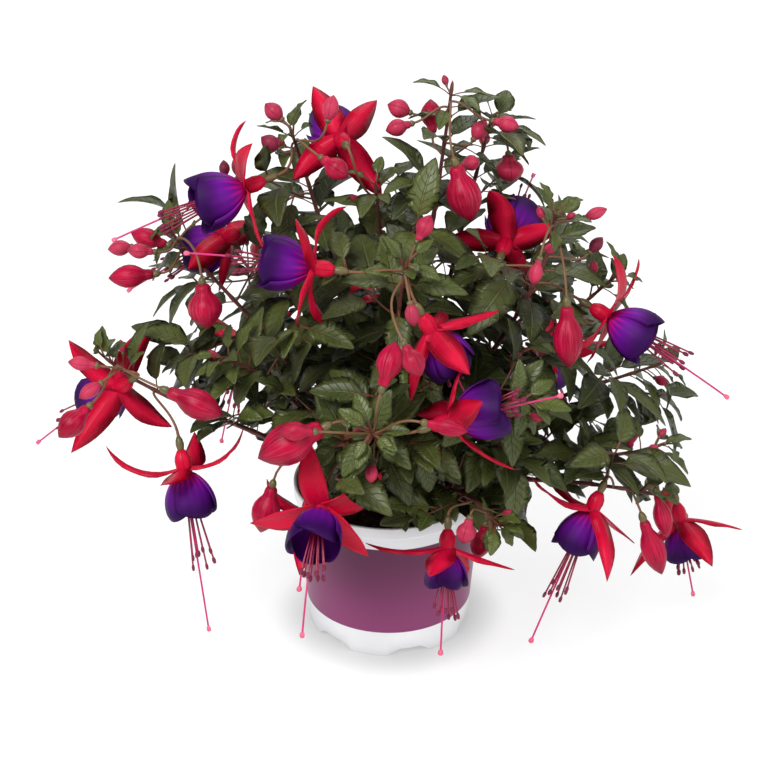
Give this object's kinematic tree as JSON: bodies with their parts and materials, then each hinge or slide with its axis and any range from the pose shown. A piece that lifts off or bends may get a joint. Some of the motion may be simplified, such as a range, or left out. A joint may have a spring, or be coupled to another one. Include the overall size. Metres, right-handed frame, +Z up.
{
  "type": "potted fuchsia",
  "caption": "Bushy fuchsia in a round plastic nursery pot, with arching leafy stems, hanging red and violet blooms and buds.",
  "frame": {"origin": "on the pot's axis, at the level that its foot stands on", "axes": "+Z up, front towards -Y, +X to the right seen from the front"},
  "size_m": [0.4429, 0.3554, 0.36],
  "materials": {
    "pot": "smooth white plastic with a plain mauve band",
    "soil": "dark crumbly potting soil",
    "foliage": "dull green leaves, red-brown stems, green stalks and crimson buds",
    "sepal": "waxy red",
    "corolla": "soft deep violet"
  },
  "bodies": {
    "root": {"bloom_01_corolla": "corolla", "bloom_01_red": "sepal", "bloom_02_corolla": "corolla", "bloom_02_red": "sepal", "bloom_03_corolla": "corolla", "bloom_03_red": "sepal", "bloom_04_corolla": "corolla", "bloom_04_red": "sepal", "bloom_05_corolla": "corolla", "bloom_05_red": "sepal", "bloom_06_corolla": "corolla", "bloom_06_red": "sepal", "bloom_07_corolla": "corolla", "bloom_07_red": "sepal", "bloom_08_corolla": "corolla", "bloom_08_red": "sepal", "bloom_09_corolla": "corolla", "bloom_09_red": "sepal", "bloom_10_corolla": "corolla", "bloom_10_red": "sepal", "bloom_11_corolla": "corolla", "bloom_11_red": "sepal", "bloom_12_corolla": "corolla", "bloom_12_red": "sepal", "bloom_13_corolla": "corolla", "bloom_13_red": "sepal", "bloom_14_corolla": "corolla", "bloom_14_red": "sepal", "bloom_15_corolla": "corolla", "bloom_15_red": "sepal", "bloom_16_corolla": "corolla", "bloom_16_red": "sepal", "bloom_17_corolla": "corolla", "bloom_17_red": "sepal", "bloom_18_corolla": "corolla", "bloom_18_red": "sepal", "pot": "pot", "shoot_back_centre": "foliage", "shoot_back_left": "foliage", "shoot_back_right": "foliage", "shoot_centre": "foliage", "shoot_front_centre": "foliage", "shoot_front_left": "foliage", "shoot_front_right": "foliage", "shoot_left_far": "foliage", "shoot_left_mid": "foliage", "shoot_left_upper": "foliage", "shoot_right_centre": "foliage", "shoot_right_front": "foliage", "shoot_right_low": "foliage", "shoot_right_mid": "foliage", "shoot_right_side": "foliage", "shoot_right_upper": "foliage", "shoot_top_back": "foliage", "shoot_top_left": "foliage", "shoot_top_middle": "foliage", "shoot_top_right": "foliage", "soil": "soil"}
  },
  "joints": []
}
